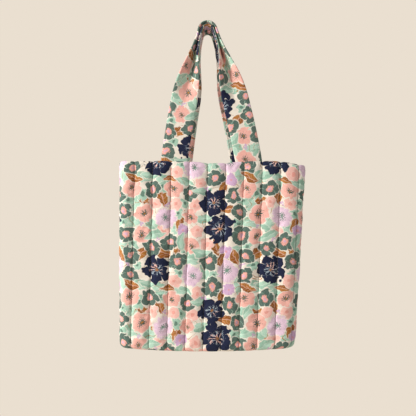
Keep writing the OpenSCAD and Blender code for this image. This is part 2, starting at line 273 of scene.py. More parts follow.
def stitches(name, runs, radius=THREAD_R):
    """Small rounded stitches at (place, direction, normal), each dipping into the cloth at its ends."""
    verts, faces = [], []
    sides = 6
    profile = [(-0.5, 0.35), (-0.3, 0.95), (0.0, 1.0), (0.3, 0.95), (0.5, 0.35)]
    one = grid_faces(len(profile), sides, closed=True) + ends(len(profile), sides)[0]
    for run in runs:
        for p, along, up in run:
            side = along.cross(up).normalized()
            base = len(verts)
            for f, r in profile:
                lift = radius * (1.0 - (2 * f) ** 2) - radius * 0.4
                centre = p + along * (f * STITCH) + up * lift
                for k in range(sides):
                    a = 2 * math.pi * k / sides
                    verts.append(centre + (side * math.cos(a) + up * math.sin(a)) * radius * r)
            faces += [tuple(base + k for k in face) for face in one]
    return orient(new_object(name, verts, faces))


def along_path(path, step=STITCH_STEP):
    """Places for stitches every step along a path of (point, normal), with direction and normal."""
    places, carry = [], step / 2
    for (a, na), (b, nb) in zip(path, path[1:]):
        d = (b - a).length
        while carry < d:
            f = carry / d
            places.append((a.lerp(b, f), (b - a).normalized(), na.lerp(nb, f).normalized()))
            carry += step
        carry -= d
    return places


# ---------------- materials


def linear(*rgb):
    """A screen colour, 0 to 255, as linear light."""
    parts = [c / 255 for c in rgb]
    return tuple((c / 12.92 if c <= 0.04045 else ((c + 0.055) / 1.055) ** 2.4) for c in parts) + (1.0,)


def darker(colour, share):
    return tuple(c * share for c in colour[:3]) + (1.0,)


class Maker:
    """Adds nodes to a tree in the order they are worked out, and joins them."""

    def __init__(self, tree):
        self.tree = tree

    def put(self, socket, value):
        if isinstance(value, bpy.types.NodeSocket):
            self.tree.links.new(value, socket)
        elif value is not None:
            socket.default_value = value

    def math(self, op, a, b=None, c=None):
        n = self.tree.nodes.new("ShaderNodeMath")
        n.operation = op
        for s, v in zip(n.inputs, (a, b, c)):
            self.put(s, v)
        return n.outputs[0]

    def mul(self, a, b):
        return self.math("MULTIPLY", a, b)

    def madd(self, a, b, c):
        return self.math("MULTIPLY_ADD", a, b, c)

    def less(self, a, b):
        return self.math("SUBTRACT", a, b)

    def vec(self, op, a, b=None, c=None, scale=None):
        n = self.tree.nodes.new("ShaderNodeVectorMath")
        n.operation = op
        for s, v in zip(n.inputs, (a, b, c)):
            self.put(s, v)
        if scale is not None:
            self.put(n.inputs["Scale"], scale)
        return n.outputs["Value"] if op in ("LENGTH", "DOT_PRODUCT", "DISTANCE") else n.outputs["Vector"]

    def mix(self, f, a, b, kind="FLOAT"):
        n = self.tree.nodes.new("ShaderNodeMix")
        n.data_type = kind
        at = {"FLOAT": (0, 2, 3, 0), "VECTOR": (0, 4, 5, 1), "RGBA": (0, 6, 7, 2)}[kind]
        for i, v in zip(at, (f, a, b)):
            self.put(n.inputs[i], v)
        return n.outputs[at[3]]

    def colour(self, f, a, b):
        return self.mix(f, a, b, "RGBA")

    def noise(self, v, scale, detail=2.0, rough=0.5, colour=False):
        n = self.tree.nodes.new("ShaderNodeTexNoise")
        n.noise_dimensions = "3D"
        n.inputs["Scale"].default_value = scale
        n.inputs["Detail"].default_value = detail
        n.inputs["Roughness"].default_value = rough
        self.put(n.inputs["Vector"], v)
        return n.outputs["Color" if colour else "Fac"]

    def step(self, value, low, high):
        """0 below low and 1 above high, smooth between; low may be the larger."""
        n = self.tree.nodes.new("ShaderNodeMapRange")
        n.interpolation_type = "SMOOTHSTEP"
        for i, v in enumerate((value, low, high, 0.0, 1.0)):
            self.put(n.inputs[i], v)
        return n.outputs[0]

    def split(self, v):
        n = self.tree.nodes.new("ShaderNodeSeparateXYZ")
        self.put(n.inputs[0], v)
        return n.outputs

    def nearest(self, p, spots, cell):
        """Place in the nearest of a repeat's spots, in that spot's own radius and turned by its own angle."""
        best = key = turn = None
        low, high = (-cell[0] / 2, -cell[1] / 2, -1), (cell[0] / 2, cell[1] / 2, 1)
        for x, y, angle, size in spots:
            away = self.vec("WRAP", self.vec("SUBTRACT", p, (x, y, 0)), high, low)
            q = self.vec("SCALE", away, scale=1 / size)
            r = self.vec("LENGTH", q)
            if best is None:
                best, key, turn = q, r, angle
            else:
                near = self.math("LESS_THAN", r, key)
                best = self.mix(near, best, q, "VECTOR")
                turn = self.mix(near, turn, angle)
                key = self.math("MINIMUM", r, key)
        x, y, _ = self.split(best)
        c, s = self.math("COSINE", turn), self.math("SINE", turn)
        across = self.madd(x, c, self.mul(y, s))
        along = self.less(self.mul(y, c), self.mul(x, s))
        return across, along, key


# Colours of the print.
CREAM = linear(244, 234, 220)
CREAM_DIM = linear(237, 225, 209)
PINK = linear(246, 182, 168)
PINK_DEEP = linear(228, 140, 126)
PINK_PALE = linear(250, 204, 192)
LILAC = linear(232, 200, 218)
LILAC_PALE = linear(239, 213, 226)
LILAC_MID = linear(214, 178, 208)
LILAC_DEEP = linear(190, 148, 188)
MINT = linear(180, 213, 192)
MINT_DEEP = linear(155, 192, 170)
MINT_PALE = linear(216, 232, 216)
SAGE = linear(110, 140, 124)
SAGE_MID = linear(106, 126, 116)
SAGE_DARK = linear(83, 104, 95)
NAVY = linear(40, 46, 74)
NAVY_DARK = linear(25, 29, 48)
NAVY_PALE = linear(112, 130, 160)
BLUE_PALE = linear(176, 190, 200)
OCHRE = linear(180, 118, 56)
OCHRE_DARK = linear(154, 94, 42)

CELL = (248.0, 232.0)  # the print's repeat, millimetres

# Motif, how many in a repeat, radius and how near its middle a neighbour may come, as a share of the radius.
MOTIFS = [
    ("navy", 3, 31.5, 0.92), ("lilac", 3, 24, 0.84), ("pink", 6, 20, 0.82), ("sage", 12, 19, 0.80),
    ("pompom", 3, 14, 0.84), ("plain", 8, 14.5, 0.80), ("leaf", 12, 27, 0.36), ("ochre", 9, 22, 0.38),
    ("mintflower", 11, 13.5, 0.74), ("topleaf", 5, 22, 0.20), ("topochre", 4, 19, 0.20), ("dots", 5, 7, 0.60),
]

ROOM_TRIES = 220
CLEAR_OF_ITS_KIND = 9
PAIR_OVERLAP = 12


def scatter():
    """Every motif's places in one repeat, each where there is most room: (x, y, angle, radius) by kind."""
    rng = random.Random(25)
    placed, out = [], {}
    for kind, count, radius, apart in MOTIFS:
        out[kind] = []
        for number in range(count):
            best, best_score = (rng.uniform(0, CELL[0]), rng.uniform(0, CELL[1])), -1e9
            for _ in range(ROOM_TRIES if placed else 0):
                x, y = rng.uniform(0, CELL[0]), rng.uniform(0, CELL[1])
                room = 1e9
                for px, py, reach, other in placed:
                    dx = (x - px + CELL[0] / 2) % CELL[0] - CELL[0] / 2
                    dy = (y - py + CELL[1] / 2) % CELL[1] - CELL[1] / 2
                    extra = CLEAR_OF_ITS_KIND if other == kind else 0
                    room = min(room, math.hypot(dx, dy) - reach - radius * apart - extra)
                # The second of the largest blooms grows beside the first.
                score = -abs(room + PAIR_OVERLAP) if kind == "navy" and number == 1 else room
                if score > best_score:
                    best, best_score = (x, y), score
            size = radius * rng.uniform(0.88, 1.12)
            placed.append((best[0], best[1], size * apart, kind))
            out[kind].append((best[0], best[1], rng.uniform(-math.pi, math.pi), size))
    return out


class Floral(Maker):
    """The printed pattern, laid on motif by motif."""

    def __init__(self, tree, cloth):
        super().__init__(tree)
        self.spots = scatter()
        at = self.vec("SCALE", cloth, scale=1000.0)
        half = (0.5, 0.5, 0.5)
        small = self.vec("SUBTRACT", self.noise(at, 0.12, 1.0, 0.5, colour=True), half)
        slow = self.vec("SUBTRACT", self.noise(at, 0.032, 1.0, 0.5, colour=True), half)
        self.at = at
        shaken = self.vec("MULTIPLY_ADD", small, (7.0, 7.0, 0.0), at)
        self.p = self.vec("MULTIPLY_ADD", slow, (16.0, 16.0, 0.0), shaken)
        self.fine = self.noise(at, 0.85, 3.0, 0.65)
        self.brush = self.less(self.noise(at, 0.42, 3.0, 0.62), 0.5)
        self.streaks = self.noise(self.vec("MULTIPLY", at, (0.35, 1.3, 1.0)), 1.0, 2.0, 0.6)
        self.lean = self.less(self.noise(at, 0.055, 1.0, 0.5), 0.5)
        self.out = self.colour(self.step(self.noise(at, 0.05, 2.0), 0.35, 0.7), CREAM, CREAM_DIM)

    def lay(self, mask, tint, share=1.0):
        if share != 1.0:
            mask = self.mul(mask, share)
        self.out = self.colour(mask, self.out, tint)

    def both(self, *masks):
        out = masks[0]
        for other in masks[1:]:
            out = self.mul(out, other)
        return out

    def spot(self, kind):
        x, y, r = self.nearest(self.p, self.spots[kind], CELL)
        return x, y, r, self.math("ARCTAN2", y, x)

    def rough(self, value, amount):
        return self.madd(self.brush, amount, value)

    def painted(self, light, dark, low=0.38, high=0.68):
        return self.colour(self.step(self.streaks, low, high), light, dark)

    def flower(self, kind, paint, count, depth, ragged, power=0.75, gap=0.8):
        """Uneven petals in a pale gap. Returns mask, radius, angle and the wave between petals."""
        x, y, r, angle = self.spot(kind)
        turned = self.madd(self.lean, 2.2, angle)
        wave = self.math("ABSOLUTE", self.math("COSINE", self.mul(turned, count / 2)))
        edge = self.madd(self.math("POWER", wave, power), depth, 1 - depth)
        edge = self.madd(self.lean, 0.45, self.rough(edge, ragged))
        inside = self.less(edge, r)
        self.lay(self.step(inside, -0.10, -0.05), CREAM, gap)
        mask = self.step(inside, 0.0, 0.045)
        self.lay(mask, paint)
        return mask, r, angle, wave

    def creases(self, mask, r, wave, tint, share, inner=0.38, width=0.16):
        gap = self.both(self.step(wave, width, width * 0.25), self.step(r, inner, inner + 0.16), mask)
        self.lay(gap, tint, share)

    def star(self, r, angle, points, size, reach, tint, share=1.0):
        edge = self.madd(self.math("COSINE", self.mul(angle, points)), reach, size)
        self.lay(self.step(self.less(self.rough(edge, 0.45), r), -0.02, 0.04), tint, share)

    def disc(self, r, size, tint, share=1.0, ragged=0.25):
        self.lay(self.step(self.rough(r, ragged), size + 0.03, size - 0.03), tint, share)

    def speckle(self, r, inner, outer, tint, share=0.9):
        """Small separate dabs in a ring."""
        dab = self.step(self.noise(self.at, 0.55, 1.0, 0.5), 0.56, 0.62)
        ring = self.both(self.step(r, inner, inner + 0.05), self.step(r, outer, outer - 0.08))
        self.lay(self.both(dab, ring), tint, share)

    def feathers(self, mask, r, angle, count, wander, cut, reach, share):
        """Fine rays towards the petals' ends."""
        ray = self.madd(self.fine, wander, self.mul(angle, count))
        ray = self.step(self.math("SINE", ray), *cut)
        self.lay(self.both(ray, self.step(r, *reach), mask), LILAC_DEEP, share)

    def almond(self, kind, tint, dark, vein, slim):
        """Leaves: an almond with a darker half, a pale rib and side veins."""
        x, y, r, _ = self.spot(kind)
        half = self.mul(self.less(1.0, self.mul(x, x)), slim)
        offset = self.math("ADD", y, self.madd(self.mul(x, x), 0.2, -0.06))
        across = self.math("ABSOLUTE", offset)
        inside = self.less(self.rough(half, 0.10), across)
        self.lay(self.step(inside, -0.09, -0.05), CREAM, 0.7)
        mask = self.step(inside, 0.0, 0.05)
        self.lay(mask, self.colour(self.step(self.rough(offset, 0.5), -0.05, 0.1), tint, dark))
        comb = self.less(x, self.mul(across, 1.2))
        comb = self.step(self.math("SINE", self.mul(comb, 19.0)), 0.86, 0.97)
        ribs = self.math("MAXIMUM", self.step(across, 0.05, 0.02), self.mul(comb, 0.7))
        self.lay(self.both(ribs, mask), vein, 0.55)

    def stems(self, tint):
        """Thin stems: level lines of a slow noise, broken into lengths."""
        flow = self.noise(self.at, 0.020, 1.0)
        level = self.math("FRACT", self.mul(flow, 9.0))
        line = self.math("ABSOLUTE", self.less(level, 0.5))
        broken = self.step(self.noise(self.at, 0.03, 0.0), 0.47, 0.50)
        self.lay(self.both(self.step(line, 0.040, 0.018), broken), tint)


def floral_group():
    """The printed pattern: cloth coordinates in metres in, colour out."""
    tree = bpy.data.node_groups.new("small flowers print", "ShaderNodeTree")
    tree.interface.new_socket("Cloth", in_out="INPUT", socket_type="NodeSocketVector")
    tree.interface.new_socket("Color", in_out="OUTPUT", socket_type="NodeSocketColor")
    gin = tree.nodes.new("NodeGroupInput")
    gout = tree.nodes.new("NodeGroupOutput")
    f = Floral(tree, gin.outputs[0])

    f.almond("leaf", MINT, MINT_DEEP, MINT_PALE, 0.44)
    f.stems(OCHRE)
    f.almond("ochre", OCHRE, OCHRE_DARK, PINK_PALE, 0.43)

    # Small mint flowers.
    _, r, _, _ = f.flower("mintflower", f.painted(MINT, MINT_DEEP), 5, 0.46, 0.14, power=0.6)
    f.disc(r, 0.28, SAGE)

    # Plain pinks.
    mask, r, _, wave = f.flower("plain", f.painted(PINK_PALE, PINK), 5, 0.22, 0.12, power=0.5)
    f.creases(mask, r, wave, PINK_DEEP, 0.35)
    f.disc(r, 0.27, PINK_DEEP, 0.6)

    # Lilac flowers with feathered edges and a sage star.
    mask, r, angle, _ = f.flower("lilac", f.painted(LILAC, LILAC_PALE), 11, 0.18, 0.55)
    f.feathers(mask, r, angle, 19.0, 7.0, (0.5, 0.9), (0.45, 0.75), 0.30)
    f.star(r, angle, 9.0, 0.22, 0.12, SAGE)
    f.speckle(r, 0.20, 0.46, SAGE_DARK)

    # Lilac pompoms.
    mask, r, angle, _ = f.flower("pompom", LILAC_MID, 13, 0.14, 0.4)
    f.feathers(mask, r, angle, 15.0, 5.0, (0.3, 0.8), (0.25, 0.6), 0.55)
    f.disc(r, 0.20, PINK_DEEP, 0.5)

    # Sage flowers with a pink heart.
    mask, r, _, wave = f.flower("sage", f.painted(SAGE_DARK, SAGE_MID), 5, 0.27, 0.10, power=0.5)
    f.creases(mask, r, wave, MINT, 0.55)
    f.disc(r, 0.35, PINK, ragged=0.5)
    f.disc(r, 0.15, LILAC_MID, 0.8, ragged=0.5)
    f.speckle(r, 0.10, 0.42, PINK_DEEP, 0.7)

    # Pinks with a dark heart and hairs.
    mask, r, angle, wave = f.flower("pink", f.painted(PINK, PINK_PALE, 0.45, 0.75), 5, 0.24, 0.12, power=0.5)
    f.creases(mask, r, wave, PINK_DEEP, 0.6)
    f.star(r, angle, 9.0, 0.27, 0.10, SAGE_DARK)
    f.speckle(r, 0.26, 0.52, SAGE_DARK)
    f.disc(r, 0.09, OCHRE)

    # Leaves that lie over the flowers.
    f.almond("topleaf", MINT, MINT_DEEP, MINT_PALE, 0.42)
    f.almond("topochre", OCHRE, OCHRE_DARK, PINK_PALE, 0.40)

    # Navy blooms with a burst of stamens.
    mask, r, angle, wave = f.flower("navy", f.painted(NAVY, NAVY_DARK), 5, 0.40, 0.07, power=0.5, gap=0.0)
    f.creases(mask, r, wave, NAVY_PALE, 0.35, inner=0.34, width=0.10)
    ray = f.math("SINE", f.madd(f.brush, 6.0, f.mul(angle, 8.0)))
    burst = f.both(f.step(ray, 0.30, 0.60), f.step(f.rough(r, 0.9), 0.44, 0.36))
    f.lay(burst, f.colour(f.step(f.lean, -0.05, 0.05), BLUE_PALE, PINK_PALE), 0.95)
    f.speckle(r, 0.34, 0.50, BLUE_PALE, 0.6)
    f.disc(r, 0.09, OCHRE, 0.8)

    # Loose dots in threes.
    x, y, r, angle = f.spot("dots")
    three = f.madd(f.math("COSINE", f.mul(angle, 3.0)), 0.25, 0.6)
    f.lay(f.both(f.step(f.less(three, r), 0.0, 0.1), f.step(r, 0.12, 0.2)), LILAC_MID)

    # Uneven dye.
    fade = f.madd(f.less(f.noise(f.at, 0.35, 4.0, 0.7), 0.5), 0.20, 1.0)
    tree.links.new(f.vec("SCALE", f.out, scale=fade), gout.inputs[0])
    return tree


def new_material(name, colour):
    mat = bpy.data.materials.new(name)
    mat.use_nodes = True
    mat.diffuse_color = colour
    return mat, Maker(mat.node_tree), mat.node_tree.nodes["Principled BSDF"]


def add_bump(m, bsdf, height, strength, distance):
    bump = m.tree.nodes.new("ShaderNodeBump")
    bump.inputs["Strength"].default_value = strength
    bump.inputs["Distance"].default_value = distance
    m.put(bump.inputs["Height"], height)
    m.put(bsdf.inputs["Normal"], bump.outputs[0])


def cloth_material(name, colour, shift=(0.0, 0.0), weave=0.00075, print_group=None, strength=0.35, quilted=0):
    """Woven cotton: a printed or plain colour, slubs, and the weave as relief.

    quilted is 1 or -1 where painted shade darkens the cloth along its stitched lines, by which way x runs.
    """
    mat, m, bsdf = new_material(name, colour)
    tree = mat.node_tree
    uv = tree.nodes.new("ShaderNodeUVMap")
    uv.uv_map = "cloth"
    p = m.vec("ADD", uv.outputs[0], (shift[0], shift[1], 0.0))
    x, y, _ = m.split(p)
    warp = m.math("SINE", m.mul(x, 2 * math.pi / weave))
    weft = m.math("SINE", m.mul(y, 2 * math.pi / weave))
    threads = m.mul(warp, weft)
    slub = m.noise(m.vec("MULTIPLY", p, (260.0, 1500.0, 1.0)), 1.0, 2.0)
    slub2 = m.noise(m.vec("MULTIPLY", p, (1500.0, 260.0, 1.0)), 1.0, 2.0)
    slubs = m.math("ADD", slub, slub2)
    if print_group is None:
        base = m.colour(m.step(slubs, 0.75, 1.25), colour, darker(colour, 0.86))
        tone = m.noise(p, 18.0, 3.0)
        base = m.vec("SCALE", base, scale=m.madd(m.less(tone, 0.5), 0.16, 1.0))
    else:
        g = tree.nodes.new("ShaderNodeGroup")
        g.node_tree = print_group
        m.put(g.inputs[0], p)
        uneven = m.madd(m.less(slubs, 1.0), 0.16, 1.0)
        base = m.vec("SCALE", g.outputs[0], scale=uneven)
    base = m.vec("SCALE", base, scale=m.madd(threads, 0.025, 0.985))
    if quilted:
        # Painted shade: the print is darkened along each stitched line, where the groove's shadow falls.
        first = -(QUILT_SHIFT / PITCH + 0.5)
        lines = m.madd(m.split(uv.outputs[0])[0], quilted / PITCH, first)
        off = m.mul(m.math("PINGPONG", lines, 0.5), PITCH)
        base = m.vec("SCALE", base, scale=m.madd(m.step(off, 0.0011, 0.0003), -0.45, 1.0))
    m.put(bsdf.inputs["Base Color"], base)
    m.put(bsdf.inputs["Roughness"], m.madd(m.less(slubs, 1.0), 0.12, 0.86))
    height = m.madd(slubs, 0.6, m.mul(threads, 0.5))
    add_bump(m, bsdf, height, strength, 0.00025)
    bsdf.inputs["Sheen Weight"].default_value = 0.05
    bsdf.inputs["Sheen Roughness"].default_value = 0.5
    bsdf.inputs["Specular IOR Level"].default_value = 0.12
    return mat


def object_material(name, colour, scale, rough, strength, distance):
    """A fibrous material that needs no cloth coordinates: thread and wadding."""
    mat, m, bsdf = new_material(name, colour)
    pos = m.tree.nodes.new("ShaderNodeTexCoord").outputs["Object"]
    n = m.noise(pos, scale, 3.0, 0.6)
    m.put(bsdf.inputs["Base Color"], m.colour(m.step(n, 0.3, 0.7), colour, darker(colour, 0.8)))
    m.put(bsdf.inputs["Roughness"], m.madd(n, 0.1, rough - 0.05))
    add_bump(m, bsdf, n, strength, distance)
    bsdf.inputs["Sheen Weight"].default_value = 0.15
    return mat


# Which part of the print each printed piece was cut from, and which way its stitched lines are counted for
# the painted shade along them.
CUTS = {
    "front": ((0.570, 0.374), 1), "back": ((0.21, 0.77), -1), "base": ((0.93, 0.12), 0),
    "front_handle": ((0.115, 0.05), 0), "back_handle": ((0.205, 0.17), 0),
}
PRINT = floral_group()
MAT = {
    cut: cloth_material("printed cotton " + cut.replace("_", " "), CREAM, at, print_group=PRINT, quilted=way)
    for cut, (at, way) in CUTS.items()
}
MAT |= {
    "lining": cloth_material("plain lining cotton", linear(232, 222, 202), strength=0.5),
    "facing": cloth_material("plain facing cotton", linear(236, 227, 208), (0.3, 0.2), strength=0.5),
    "binding": cloth_material("bias tape", linear(222, 210, 190), (0.1, 0.6), weave=0.0006, strength=0.5),
    "thread": object_material("sewing thread", linear(164, 154, 140), 2600.0, 0.7, 0.5, 0.0001),
    "wadding": object_material("cotton wadding", linear(246, 243, 235), 400.0, 0.95, 0.8, 0.0006),
}


# ---------------- quilted walls

PER_CHANNEL = 12
ROW_STEP = 0.0040


def panel_columns():
    """Arc lengths of the columns: each stitched line, even steps between, and the two side seams."""
    edges = [-HALF] + LINES + [HALF]
    cols, stitched = [], []
    for a, b in zip(edges, edges[1:]):
        n = max(4, round((b - a) / PITCH * PER_CHANNEL))
        stitched.append(len(cols))
        # Closer together beside the stitched lines, so that the grooves stay sharp.
        cols += [mix(a, b, (1 - math.cos(math.pi * i / n)) / 2 * 0.8 + i / n * 0.2) for i in range(n)]
    stitched.append(len(cols))
    cols.append(HALF)
    return cols, stitched


def panel_rows():
    """Rows from the hem inside the mouth, over the rolled rim, down the wall and round under the base."""
    rows = [("drop", d) for d in (0.010, 0.007, 0.0035)]
    rows += [("roll", math.radians(a)) for a in (180, 150, 120, 90, 60, 30)]
    first = RIM_FOLD / BODY_HEIGHT
    count = round(BODY_HEIGHT / ROW_STEP)
    rows += [("wall", mix(first, 1.0, i / count)) for i in range(count + 1)]
    rows += [("turn", math.radians(a)) for a in (20, 40, 60, 80, 90)]
    return rows + [("under", d) for d in (0.003, 0.006)]


def rim_wave(s):
    """The mouth's edge rises a little over each padded channel and dips at the stitches."""
    u, share = channel(s)
    dip = math.exp(-((min(u, 1 - u) * PITCH / 0.004) ** 2)) * share
    return 0.0009 * noise.noise(Vector((s * 31, 2.7, 0.4))) - 0.0007 * dip


def panel_point(s, row, lift):
    kind, value = row
    t = s / HALF
    if kind in ("drop", "roll"):
        p, n = wall(t, RIM_FOLD / BODY_HEIGHT)
        p.z += rim_wave(s)
        up = Vector((0, 0, 1))
        centre = p - n * RIM_FOLD
        if kind == "roll":
            return centre + (n * math.cos(value) + up * math.sin(value)) * (RIM_FOLD + lift)
        return centre - n * RIM_FOLD - up * value
    if kind == "wall":
        p, n = wall(t, value)
        p.z += rim_wave(s) * (1 - smooth(value * BODY_HEIGHT / 0.05))
        return p + n * lift
    if kind == "turn":
        p, n = wall(t, 1.0, value)
        return p + n * lift
    p, n = wall(t, 1.0, math.pi / 2)
    q, _ = wall(t, 1.0, math.radians(80))
    inward = Vector((p.x - q.x, p.y - q.y, 0))
    return p + inward.normalized() * value + Vector((0, 0, 0.0009)) if inward.length > 1e-9 else p


def puff_height(s, row, seed):
    """Height of the print over the stitched surface: an uneven pillow between two grooves."""
    u, share = channel(s)
    pillow = (1 - abs(2 * u - 1) ** 2.6) ** 0.68 * share
    groove = math.exp(-((min(u, 1 - u) * PITCH / GROOVE_W) ** 2)) * smooth((HALF - abs(s) - 0.004) / 0.004)
    kind, value = row
    v = value if kind == "wall" else (0.0 if kind in ("drop", "roll") else 1.0)
    uneven = 1 + 0.16 * noise.noise(Vector((s * 22 + seed, v * 7, seed * 3.1)))
    if kind == "roll":
        top = mix(0.62, 0.25, value / math.pi)
    elif kind == "wall":
        top = mix(0.62, 1.0, smooth(v * BODY_HEIGHT / 0.025))
        top *= mix(0.75, 1.0, smooth((1 - v) * BODY_HEIGHT / 0.02))
    elif kind == "turn":
        top = mix(0.75, 0.15, value / (math.pi / 2))
    else:
        top = 0.0
    return (PUFF * pillow * uneven - GROOVE * groove) * top


def pull_lines(s, row, seed):
    """Small puckers that run from the stitches into the padding."""
    kind, value = row
    if kind != "wall":
        return 0.0
    u, share = channel(s)
    from_line = min(u, 1 - u) * PITCH
    z = value * BODY_HEIGHT
    side = 1 if u < 0.5 else -1
    k = noise.noise(Vector((z * 120 + side * from_line * 35, s * 26 + side * 7.3 + seed, seed)))
    k += 0.5 * noise.noise(Vector((z * 260, s * 40 - seed, 4.4 + side)))
    return 0.0008 * k * share * smooth(from_line / 0.0025) * (1 - smooth((from_line - 0.004) / 0.014))


SWELL_FRAMES = 18
SWELL_GROWTH = 0.035
SWELL_PRESSURE = 2.0
SWELL_LIMIT = 0.0016  # how far the simulation may move a point


def simulate_cloth(obj, pinned):
    """Lets the cloth between the stitched lines swell, with the stitches held."""
    group = obj.vertex_groups.new(name="stitched")
    group.add(pinned, 1.0, "REPLACE")
    cloth = obj.modifiers.new("Cloth", "CLOTH")
    s = cloth.settings
    s.quality = 6
    s.mass = 0.15
    s.tension_stiffness = s.compression_stiffness = 25
    s.shear_stiffness = 8
    s.bending_stiffness = 0.35
    s.vertex_group_mass = "stitched"
    s.shrink_min = -SWELL_GROWTH
    s.use_pressure = True
    s.uniform_pressure_force = SWELL_PRESSURE
    s.effector_weights.gravity = 0
    cloth.collision_settings.use_collision = False
    cloth.collision_settings.use_self_collision = False
    cloth.point_cache.frame_start = 1
    cloth.point_cache.frame_end = SWELL_FRAMES
    scene = bpy.context.scene
    for f in range(1, SWELL_FRAMES + 1):
        scene.frame_set(f)
    settled = obj.evaluated_get(bpy.context.evaluated_depsgraph_get())
    points = [v.co.copy() for v in settled.data.vertices]
    obj.modifiers.remove(cloth)
    obj.vertex_groups.clear()
    scene.frame_set(1)
    return points


def swell(grid, rows, stitched, back):
    """Moves a panel's points to where its cloth swells, within the limit."""
    n = len(grid[0])
    faces = grid_faces(len(rows), n)
    if not back:
        faces = [f[::-1] for f in faces]
    trial = new_object("trial", [p for r in grid for p in r], faces)
    walls = [i for i, r in enumerate(rows) if r[0] == "wall"]
    pinned = [i * n + j for i in range(len(rows)) for j in range(n)
              if j in stitched or not walls[0] < i < walls[-1]]
    moved = simulate_cloth(trial, pinned)
    for i, line in enumerate(grid):
        for j, p in enumerate(line):
            step = moved[i * n + j] - p
            if step.length > SWELL_LIMIT:
                step *= SWELL_LIMIT / step.length
            line[j] = p + step
    bpy.data.objects.remove(trial)


def quilted_panel(side):
    """The printed outer cloth of one side, swollen between its stitched lines, and its points."""
    seed = 1.7 if side == "front" else 8.3
    cols, stitched = panel_columns()
    rows = panel_rows()
    back = side == "back"
    grid = []
    for row in rows:
        lifts = [puff_height(s, row, seed) + pull_lines(s, row, seed) for s in cols]
        grid.append([mirrored(panel_point(s, row, lift), side) for s, lift in zip(cols, lifts)])
    depth = [0.0]
    for a, b in zip(grid, grid[1:]):
        depth.append(depth[-1] + (b[len(cols) // 2] - a[len(cols) // 2]).length)
    uv = [[(s if not back else -s, -d) for s in cols] for d in depth]
    n = len(cols)
    swell(grid, rows, stitched, back)
    obj = sheet_object(f"{side}_quilted_print", grid, uv, not back, PRINT_T, levels=1)
    crease_columns(obj, stitched[1:-1], n, 0.9)
    return obj, grid, cols, rows, stitched


def grid_normals(grid, back):
    m, n = len(grid), len(grid[0])
    out = []
    for i in range(m):
        line = []
        for j in range(n):
            a = grid[i][min(j + 1, n - 1)] - grid[i][max(j - 1, 0)]
            b = grid[min(i + 1, m - 1)][j] - grid[max(i - 1, 0)][j]
            v = b.cross(a).normalized()
            line.append(-v if back else v)
        out.append(line)
    return out


def build_wall(side):
    obj, grid, cols, rows, stitched = quilted_panel(side)
    dress(obj, side, "printed_cotton", f"{side}_panel")
    normals = grid_normals(grid, side == "back")
    build_wadding(side, grid, normals, cols, rows, stitched)
    build_quilting(side, grid, normals, rows, stitched)


def build_wadding(side, grid, normals, cols, rows, stitched):
    """Wadding under the print, down to the lining."""
    wall_rows = [i for i, r in enumerate(rows) if r[0] in ("wall", "turn")][::3]
    picked = sorted({*range(0, len(cols), 2), *stitched})
    outer = [[grid[i][j] - normals[i][j] * 0.0018 for j in picked] for i in wall_rows]
    inner = []
    for kind, value in (rows[i] for i in wall_rows):
        v, psi = (value, 0.0) if kind == "wall" else (1.0, value)
        inner.append([under(side, BATTING_BACK, cols[j] / HALF, v, psi) for j in picked])
    wad = dress(closed_solid(f"{side}_wadding", outer, inner), "wadding", "batting", f"{side}_batting")


def build_quilting(side, grid, normals, rows, stitched):
    """Stitches in the grooves."""
    keep = [i for i, r in enumerate(rows) if r[0] in ("roll", "wall", "turn")]
    runs = [along_path([(grid[i][j], normals[i][j]) for i in keep], QUILT_STEP) for j in stitched[1:-1]]
    thread = stitches(f"{side}_quilting_stitches", runs, radius=FINE_THREAD_R)
    dress(thread, "thread", "sewing_thread", f"{side}_quilting_threads")


# ---------------- inside the bag


def over_tab(x, side):
    left, right = FEET[side]
    reach = [smooth((STRAP_W / 2 + 0.015 - abs(x + SWAY[0] - f)) / 0.013) for f in (left, right)]
    return max(reach)


def facing_depth(t, side):
    """Depth of the facing's outer surface, greater where it covers a tab."""
    return mix(LINING[1] + 2 * GAP, LINING[1] + OVER_TAB, over_tab(t * HALF, side))


def build_lining(side):
    back = side == "back"
    seed = 3.1 if not back else 6.2
    ts = [-1 + 2 * j / 90 for j in range(91)]
    rows = [(mix(0.024, 1.0, i / 70), 0.0) for i in range(71)]
    rows += [(1.0, math.radians(a)) for a in (30, 60, 90)]
    grid = []
    for v, psi in rows:
        line = []
        for t in ts:
            z = v * BODY_HEIGHT
            slack = 0.0006 * noise.noise(Vector((t * 9, z * 20 + seed, seed))) + 0.0004 * noise.noise(
                Vector((t * 26 + z * 9, z * 46, seed)))
            edge = smooth((1 - abs(t)) / 0.05) * smooth(v / 0.1)
            line.append(under(side, LINING[0] + LINING_T + abs(slack) * edge, t, v, psi))
        grid.append(line)
    uv = [[(t * HALF, -v * BODY_HEIGHT - psi * TURN) for t in ts] for v, psi in rows]
    obj = sheet_object(f"{side}_lining_cloth", grid, uv, back, LINING_T)
    dress(obj, "lining", "lining", f"{side}_lining")


def build_facing(side):
    back = side == "back"
    ts = [FACING_SPAN * (2 * j / 160 - 1) for j in range(161)]
    rows = [i / 16 for i in range(17)]
    grid = []
    for f in rows:
        line = []
        for t in ts:
            d = facing_depth(t, side) + FACING_T
            rim = smooth(f / 0.15)
            wave = 0.0005 * noise.noise(Vector((t * 22, f * 2, 9.1 if back else 2.2)))
            hem = 0.0005 * math.exp(-(((f - 0.93) / 0.05) ** 2))
            line.append(under(side, d + (abs(wave) + hem) * rim, t, (0.0012 + f * FACING_H) / BODY_HEIGHT))
        grid.append(line)
    uv = [[(t * HALF, -f * FACING_H) for t in ts] for f in rows]
    obj = sheet_object(f"{side}_mouth_facing", grid, uv, back, FACING_T)
    dress(obj, "facing", "facing", f"{side}_rim_facing")
    build_mouth_stitches(side, ts)
    for hand, foot in zip(("left", "right"), FEET[side]):
        build_sewn_box(side, hand, foot)


